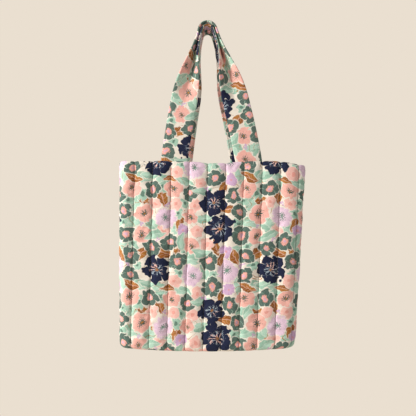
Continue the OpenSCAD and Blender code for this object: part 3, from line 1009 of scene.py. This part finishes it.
def build_mouth_stitches(side, ts):
    """The stitched line near the facing's top."""
    path = []
    for t in ts:
        p, n = wall(t, 0.0085 / BODY_HEIGHT)
        d = facing_depth(t, side) + FACING_T + 0.0002
        path.append((mirrored(p - n * d, side), mirrored(n, side) * -1))
    line = stitches(f"{side}_mouth_stitches", [along_path(path)])
    dress(line, "thread", "sewing_thread", f"{side}_rim_stitching")


def build_sewn_box(side, hand, foot):
    """A box with a cross, sewn through the facing and the tab under it."""
    depth = LINING[1] + OVER_TAB + FACING_T + 0.0007
    top, low = RIM_Z - 0.0095, RIM_Z - TAB_H + 0.005
    w = 0.0225
    turns = [(-w, top), (w, low), (w, top), (-w, low), (-w, top), (w, top), (w, low), (-w, low)]
    path = [under(side, depth, (foot + x - SWAY[0]) / HALF, (RIM_Z - z) / BODY_HEIGHT) for x, z in turns]
    inward = mirrored(Vector((0, 1, 0)), side)
    runs = [along_path([(a.lerp(b, i / 8), inward) for i in range(9)]) for a, b in zip(path, path[1:])]
    box = stitches(f"{side}_{hand}_tab_sewn_box", runs)
    dress(box, "thread", "sewing_thread", f"{side}_{hand}_tab_stitches")


def base_half(x, w, d, r):
    a, m = w / 2 - r, abs(x)
    return d / 2 if m <= a else d / 2 - r + math.sqrt(max(0.0, r * r - (m - a) ** 2))


def base_grid(lift, inset=0.0, wrinkle=0.0):
    w = WIDTH[1] - 2 * TURN - 2 * GAP - 2 * inset
    d = DEPTH[1] - 2 * TURN - 2 * GAP - 2 * inset
    r = CORNER - TURN - GAP
    a = w / 2 - r
    tips = [a + r * math.sin(math.radians(g)) for g in (18, 36, 54, 72, 90)]
    xs = [-x for x in tips[::-1]] + [mix(-a, a, i / 60) for i in range(61)] + tips
    rows, uv = [], []
    for j in range(13):
        f = -1 + 2 * j / 12
        line, coords = [], []
        for x in xs:
            y = f * base_half(x, w, d, r)
            z = BASE_Z + base_shape(x) + lift
            if wrinkle:
                z += wrinkle * noise.noise(Vector((x * 30, y * 60, 3.3))) * smooth((1 - abs(f)) / 0.3)
            line.append(Vector((x + SWAY[1], y, z)))
            coords.append((x, y))
        rows.append(line)
        uv.append(coords)
    return rows, uv


def build_base():
    low, uv = base_grid(-0.0006, -0.0002, 0.0005)
    obj = dress(sheet_object("base_print", low, uv, True, PRINT_T), "base", "printed_cotton", "base_panel")
    top, _ = base_grid(BATTING_BACK)
    bottom, _ = base_grid(0.0013)
    wad = dress(closed_solid("base_wadding", top, bottom), "wadding", "batting", "base_batting")
    inner, uv = base_grid(LINING[1], 0.0, 0.0008)
    cloth = sheet_object("base_lining_cloth", inner, uv, False, LINING_T)
    dress(cloth, "lining", "lining", "base_lining")


def tape(name, path, width, thickness, closed, replaced):
    """A flat band along a path of (point, across, up), with rounded edges and a stitched groove."""
    prof = [(-0.5, 0.0), (-0.46, 0.7), (-0.36, 1.0), (-0.30, 0.8), (0.0, 1.05), (0.30, 0.8),
            (0.36, 1.0), (0.46, 0.7), (0.5, 0.0), (0.3, -0.1), (-0.3, -0.1)]
    m, n = len(path), len(prof)
    verts = [p + a * (x * width) + u * (h * thickness) for p, a, u in path for x, h in prof]
    rings = m + 1 if closed else m
    faces = [tuple(k % (m * n) for k in face) for face in grid_faces(rings, n, closed=True)]
    quads = grid_uvs([[(j * 0.0008, i * 0.01) for j in range(n + 1)] for i in range(rings)])
    if not closed:
        end_faces, end_quads = ends(m, n)
        faces, quads = faces + end_faces, quads + end_quads
    dress(orient(new_object(name, verts, faces, quads)), "binding", "binding", replaced)


def build_bindings():
    for hand, g in (("left", -1.0), ("right", 1.0)):
        path = []
        for i in range(61):
            v = mix(0.14, 0.98, i / 60)
            p, n = wall(g, v)
            wave = 0.0006 * noise.noise(Vector((v * 30, g, 0.5)))
            path.append((p - n * (LINING[1] + GAP + 0.0002 + abs(wave)), Vector((0, 1, 0)), -n))
        tape(f"{hand}_seam_tape", path, 0.0095, 0.0011, False, f"{hand}_seam_binding")
    inset = 0.0055
    w, d = (size[1] - 2 * (TURN + GAP + inset) for size in (WIDTH, DEPTH))
    r = CORNER - TURN - GAP - inset
    path = []
    for half in (1, -1):
        for i in range(64):
            x, y, nx, ny = section((i / 32 - 1) * half_len(w, d, r), w, d, r)
            p = Vector((half * x + SWAY[1], half * y, BASE_Z + base_shape(x) + LINING[1] + 0.0007))
            path.append((p, Vector((half * nx, half * ny, 0)), Vector((0, 0, 1))))
    tape("base_seam_tape", path, 0.005, 0.0012, True, "base_seam_binding")


# ---------------- handles


def leg_x(u, g, foot):
    return g * LEG_TOP[0] + (foot - g * LEG_TOP[0]) * (u + LEG_BOW * u * (1 - u))


def leg_slope(u, g, foot):
    if u < 0.001:
        return g * LEG_ANGLE
    return math.atan2((foot - g * LEG_TOP[0]) * (1 + LEG_BOW * (1 - 2 * u)), LEG_LEN)


def leg_fold(u):
    return math.pi / 2 * (1 - smooth((u - 0.04) / 0.6))


def bend(u, a):
    """A point of the folded strap's middle line, u across from its centre, and the cloth's turn there."""
    if a < 0.02:
        return u, 0.0, 0.0
    arc, g, m = FOLD_R * math.pi / 2, -1 if u < 0 else 1, abs(u)
    rr = arc / a
    if m <= arc:
        f = a * m / arc
        return g * rr * math.sin(f), rr * (1 - math.cos(f)), g * f
    x = rr * math.sin(a) + (m - arc) * math.cos(a)
    return g * x, rr * (1 - math.cos(a)) + (m - arc) * math.sin(a), g * a


RING = 64
BELOW_RIM = (0.043, 0.034, 0.025, 0.017, 0.011, 0.006, 0.002)
TAB_HALF_T = 0.00145


def creased(f, face, length, seed):
    k = noise.noise(Vector((length * 55 + abs(f) * 2.2, f * 2.4 + face, seed)))
    return k + 0.6 * noise.noise(Vector((length * 110 - f * 3.0, f * 3.1, seed + face)))


def strap_ring(a, hw, ht, creases, length, seed):
    """Points round the strap's section, with the distance across the cloth at each."""
    out = []
    for k in range(RING):
        face = 1 if k < RING // 2 else -1
        f = -math.cos(math.pi * (k % (RING // 2)) / (RING // 2)) * face
        x = f * hw
        pad = max(0.0, 1 - abs(f) ** 7) ** 0.5
        pad *= 1 - 0.16 * math.exp(-(((abs(f) - EDGE_LINE) / 0.035) ** 2))
        bx, by, turn = bend(x, a)
        h = (ht * face + creases * creased(f, face, length, seed)) * pad
        out.append((bx + h * math.sin(turn), by - h * math.cos(turn), x))
    return out


def handle_stations():
    """Places along a strap, from one tab over the crown to the other: kind, side and how far."""
    left = [("tab", -1, d) for d in BELOW_RIM] + [("leg", -1, 1 - i / 110) for i in range(111)]
    right = [(kind, 1, value) for kind, _, value in left[::-1]]
    return left + [("crown", 0, i / 26) for i in range(1, 26)] + right


def handle_place(kind, g, value, side):
    """The strap's centre and direction at a station, and how far it is folded there."""
    foot = FEET[side][g > 0]
    if kind == "crown":
        b = math.pi - LEG_ANGLE - value * (math.pi - 2 * LEG_ANGLE)
        centre = Vector((MID_R * math.cos(b), FOLD_Y, MID_R * math.sin(b)))
        return centre, Vector((math.sin(b), 0, -math.cos(b))), math.pi / 2
    upright = Vector((0, 0, -g))
    if kind == "tab":
        return Vector((foot, TAB_Y - value * WALL_SLOPE, RIM_Z - value)), upright, 0.0
    y = mix(FOLD_Y, TAB_Y, smooth(value * 1.25))
    centre = Vector((leg_x(value, g, foot), y, LEG_TOP[1] - value * LEG_LEN))
    a = leg_slope(value, g, foot)
    tangent = Vector((-math.sin(a), 0, math.cos(a))) * -g
    near = smooth((centre.z - RIM_Z) / 0.02)
    return centre, tangent.lerp(upright, 1 - near).normalized(), leg_fold(value)


def handle_grid(side):
    """The strap's points, ring by ring, and its cloth coordinates."""
    seed = 2.9 if side == "front" else 7.7
    verts, uv, length, last = [], [], 0.0, None
    for kind, g, value in handle_stations():
        centre, tangent, fold = handle_place(kind, g, value, side)
        length += (centre - last).length if last else 0.0
        last = centre
        ht = mix(TAB_HALF_T, STRAP_T / 2, smooth((centre.z - RIM_Z + 0.002) / 0.014))
        hw = STRAP_W / 2 - (0.001 if kind == "tab" else 0.0)
        soft = smooth((value - 0.02) / 0.1) * (1 - smooth((value - 0.8) / 0.2)) if kind == "leg" else 0.0
        creases = 0.0009 * soft * math.exp(-(((value - 0.3) / 0.22) ** 2)) + 0.0003 * soft
        ring = strap_ring(fold, hw, ht, creases, length, seed)
        out = Vector((-tangent.z, 0, tangent.x))
        verts += [mirrored(centre + out * a + Vector((0, -b, 0)), side) for a, b, _ in ring]
        front, rear = ring[:RING // 2], ring[RING // 2:]
        across = [x for _, _, x in front] + [STRAP_W - x for _, _, x in rear] + [STRAP_W * 1.5]
        uv.append([(x, length) for x in across])
    return verts, uv


def dress_handle(obj, side, material, slot, *nodes):
    """Finishes a piece of a handle: its material, its points moved into world space, and the CAD nodes that
    it stands for.
    """
    set_material(obj, MAT[material])
    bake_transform(obj)
    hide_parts(*nodes)


def build_handle(side):
    verts, uv = handle_grid(side)
    m = len(uv)
    end_faces, end_quads = ends(m, RING)
    faces, quads = grid_faces(m, RING, closed=True) + end_faces, grid_uvs(uv) + end_quads
    obj = orient(new_object(f"{side}_handle_strap", verts, faces, quads))
    nodes = [f"{side}_{part}" for part in ("handle_cover", "handle_batting", "left_tab", "right_tab",
                                           "left_root", "right_root")]
    dress_handle(obj, side, f"{side}_handle", "handle_cotton", *nodes)

    # Stitching along both edges of the strap, on the side that faces out.
    runs = []
    edge = RING / 2 * math.acos(EDGE_LINE) / math.pi
    for column in (round(edge), round(RING / 2 - edge)):
        path = []
        for k in range(9 * RING + column, (m - 9) * RING, RING):
            n = (verts[k + 1] - verts[k - 1]).cross(verts[k + RING] - verts[k - RING]).normalized()
            n *= 1 if side == "front" else -1
            path.append((verts[k] + n * 0.0001, n))
        runs.append(along_path(path))
    thread = stitches(f"{side}_handle_stitches", runs)
    dress_handle(thread, side, "thread", "sewing_thread", f"{side}_handle_topstitch")


# ---------------- stage, light and camera


def build_stage():
    floor_z, radius, n = BASE_Z - 0.75, 1.2, 96
    turns = [2 * math.pi * k / n for k in range(n)]
    verts = [(radius * math.cos(a), radius * math.sin(a), floor_z) for a in turns]
    floor = new_object("studio_floor", verts, [tuple(range(n))], smooth_shade=False)
    mat, _, bsdf = new_material("pale floor", CREAM)
    bsdf.inputs["Base Color"].default_value = linear(232, 222, 206)
    bsdf.inputs["Roughness"].default_value = 0.9
    set_material(floor, mat)


def area_light(name, place, aim, size, power, colour):
    data = bpy.data.lights.new(name, "AREA")
    data.shape = "SQUARE"
    data.size = size
    data.energy = power
    data.color = colour
    obj = bpy.data.objects.new(name, data)
    obj.location = place
    obj.rotation_euler = (Vector(aim) - Vector(place)).to_track_quat("-Z", "Y").to_euler()
    bpy.context.scene.collection.objects.link(obj)


def build_light():
    middle = (0, 0, -0.40)
    area_light("key light", (-2.2, -0.95, 0.25), middle, 0.7, 76, (1.0, 0.985, 0.96))
    area_light("fill light", (1.2, -2.3, 0.2), middle, 1.6, 8, (1.0, 0.985, 0.965))
    area_light("back light", (0.9, 1.9, 0.7), middle, 1.4, 18, (1.0, 0.985, 0.965))
    world = bpy.data.worlds.new("pale studio")
    world.use_nodes = True
    tree = world.node_tree
    seen = tree.nodes["Background"]
    seen.inputs[0].default_value = linear(234, 223, 208)
    lit = tree.nodes.new("ShaderNodeBackground")
    lit.inputs[0].default_value = linear(240, 236, 232)
    lit.inputs[1].default_value = 0.42
    pick = tree.nodes.new("ShaderNodeMixShader")
    tree.links.new(tree.nodes.new("ShaderNodeLightPath").outputs["Is Camera Ray"], pick.inputs[0])
    tree.links.new(lit.outputs[0], pick.inputs[1])
    tree.links.new(seen.outputs[0], pick.inputs[2])
    tree.links.new(pick.outputs[0], tree.nodes["World Output"].inputs[0])
    bpy.context.scene.world = world


def build_camera():
    data = bpy.data.cameras.new("camera")
    data.lens = 41.5
    data.sensor_width = 36
    data.clip_start = 0.05
    camera = bpy.data.objects.new("camera", data)
    camera.location = (0.001, -1.05, -0.379)
    camera.rotation_euler = (math.pi / 2, 0, 0)
    bpy.context.scene.collection.objects.link(camera)
    bpy.context.scene.camera = camera
    bpy.context.scene.view_settings.view_transform = "Standard"


build_camera()
build_light()
build_stage()
for panel_side in ("front", "back"):
    build_wall(panel_side)
    build_lining(panel_side)
    build_facing(panel_side)
    build_handle(panel_side)
build_base()
build_bindings()

bpy.context.view_layer.update()
